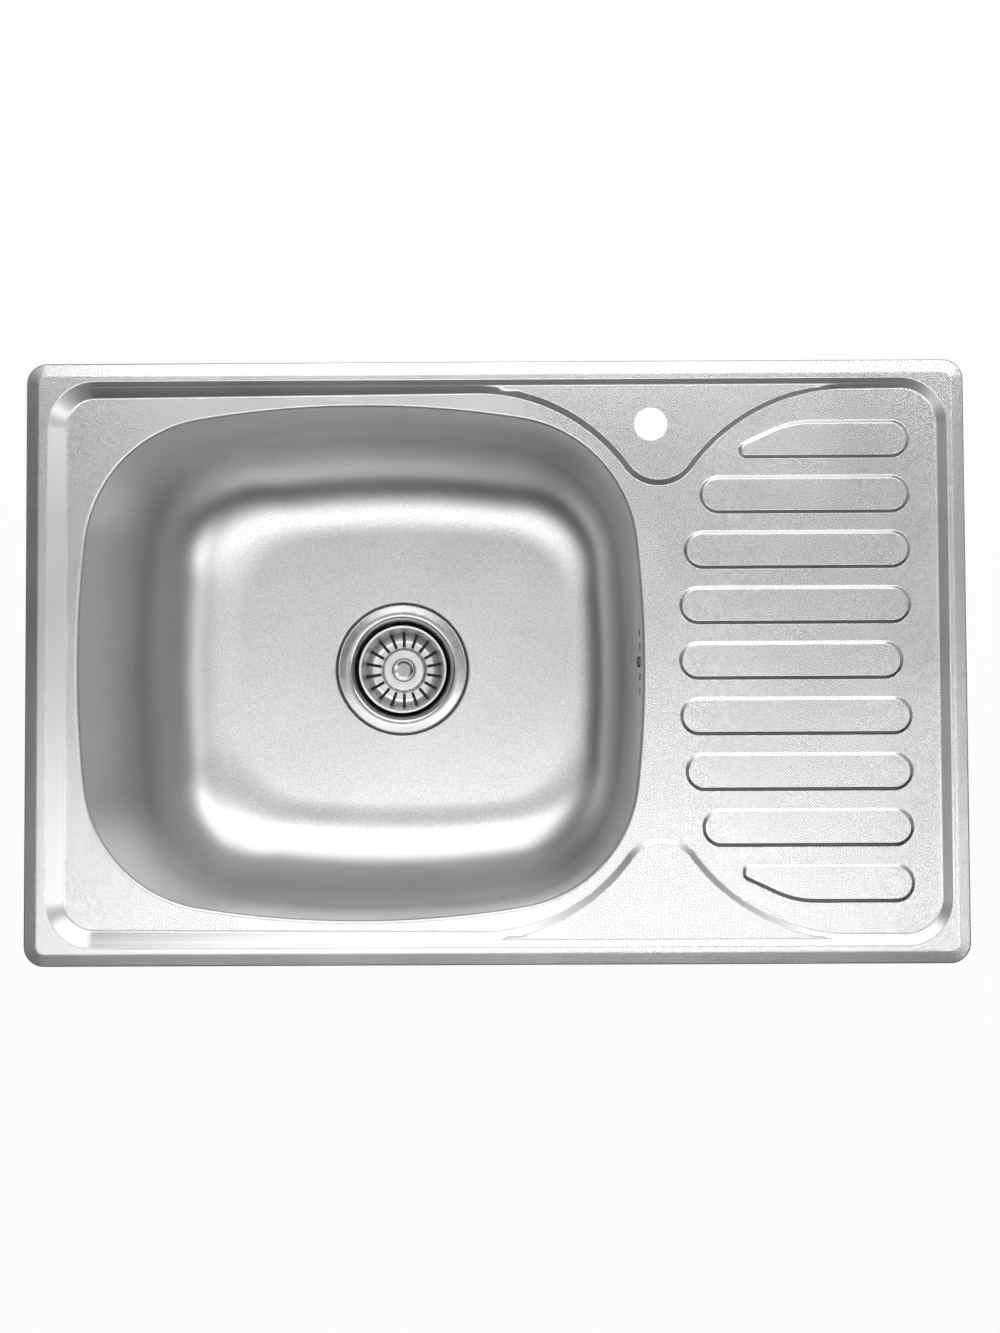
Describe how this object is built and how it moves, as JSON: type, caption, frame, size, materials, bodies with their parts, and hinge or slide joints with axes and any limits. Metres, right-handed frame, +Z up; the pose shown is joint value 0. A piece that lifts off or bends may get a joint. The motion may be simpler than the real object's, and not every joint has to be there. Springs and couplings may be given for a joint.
{
  "type": "kitchen sink",
  "caption": "Pressed stainless steel inset sink: rounded bowl, ribbed drainer, tap ledge, lift-out basket strainer, overflow and worktop clips.",
  "frame": {"origin": "middle of the outline, on the worktop plane that the rim seal rests on", "axes": "+X along the length towards the drainer, +Y towards the tap ledge, +Z up"},
  "size_m": [0.78, 0.5, 0.2828],
  "materials": {
    "sink_steel": "satin sheet with a fine pressed dot texture",
    "bright_steel": "polished stainless steel",
    "clip_steel": "zinc-plated steel",
    "brass": "turned",
    "black_rubber": "moulded",
    "seal_foam": "closed-cell foam strip",
    "sound_felt": "heavy bitumen felt",
    "waste_plastic": "moulded, slightly satin",
    "pipe_plastic": "moulded, slightly satin"
  },
  "bodies": {
    "sink": {"sink_pressing": "sink_steel", "rim_seal": "seal_foam", "sound_pad": "sound_felt", "strainer_cup": "bright_steel", "cup_seal": "black_rubber", "lower_seal": "black_rubber", "waste_body": "waste_plastic", "waste_insert": "brass", "clamp_screw": "bright_steel", "overflow_gasket": "black_rubber", "overflow_collector": "waste_plastic", "overflow_insert": "brass", "overflow_screw": "bright_steel", "overflow_pipe": "pipe_plastic", "overflow_nut_upper": "waste_plastic", "overflow_nut_lower": "waste_plastic", "overflow_seal_upper": "black_rubber", "overflow_seal_lower": "black_rubber", "clip_brackets": "clip_steel"},
    "basket": {"strainer_basket": "bright_steel", "basket_stopper": "black_rubber", "basket_knob": "bright_steel"},
    "clip_1": {"clip_claw_1": "clip_steel", "clip_screw_1": "clip_steel"},
    "clip_2": {"clip_claw_2": "clip_steel", "clip_screw_2": "clip_steel"},
    "clip_3": {"clip_claw_3": "clip_steel", "clip_screw_3": "clip_steel"},
    "clip_4": {"clip_claw_4": "clip_steel", "clip_screw_4": "clip_steel"},
    "clip_5": {"clip_claw_5": "clip_steel", "clip_screw_5": "clip_steel"},
    "clip_6": {"clip_claw_6": "clip_steel", "clip_screw_6": "clip_steel"},
    "clip_7": {"clip_claw_7": "clip_steel", "clip_screw_7": "clip_steel"},
    "clip_8": {"clip_claw_8": "clip_steel", "clip_screw_8": "clip_steel"}
  },
  "joints": [
    {"name": "basket_lift", "type": "slide", "parent": "sink", "child": "basket", "axis": [0, 0, 1], "range_m": [0, 0.24]},
    {"name": "clip_swing_1", "type": "hinge", "parent": "sink", "child": "clip_1", "pos_m": [-0.26, 0.2308, -0.037], "axis": [0, 0, 1], "range_deg": [0, 90]},
    {"name": "clip_swing_2", "type": "hinge", "parent": "sink", "child": "clip_2", "pos_m": [0, 0.2308, -0.037], "axis": [0, 0, 1], "range_deg": [0, 90]},
    {"name": "clip_swing_3", "type": "hinge", "parent": "sink", "child": "clip_3", "pos_m": [0.26, 0.2308, -0.037], "axis": [0, 0, 1], "range_deg": [0, 90]},
    {"name": "clip_swing_4", "type": "hinge", "parent": "sink", "child": "clip_4", "pos_m": [0.26, -0.2308, -0.037], "axis": [0, 0, 1], "range_deg": [0, 90]},
    {"name": "clip_swing_5", "type": "hinge", "parent": "sink", "child": "clip_5", "pos_m": [0, -0.2308, -0.037], "axis": [0, 0, 1], "range_deg": [0, 90]},
    {"name": "clip_swing_6", "type": "hinge", "parent": "sink", "child": "clip_6", "pos_m": [-0.26, -0.2308, -0.037], "axis": [0, 0, 1], "range_deg": [0, 90]},
    {"name": "clip_swing_7", "type": "hinge", "parent": "sink", "child": "clip_7", "pos_m": [-0.3708, 0, -0.037], "axis": [0, 0, 1], "range_deg": [0, 90]},
    {"name": "clip_swing_8", "type": "hinge", "parent": "sink", "child": "clip_8", "pos_m": [0.3708, 0, -0.037], "axis": [0, 0, 1], "range_deg": [0, 90]}
  ]
}
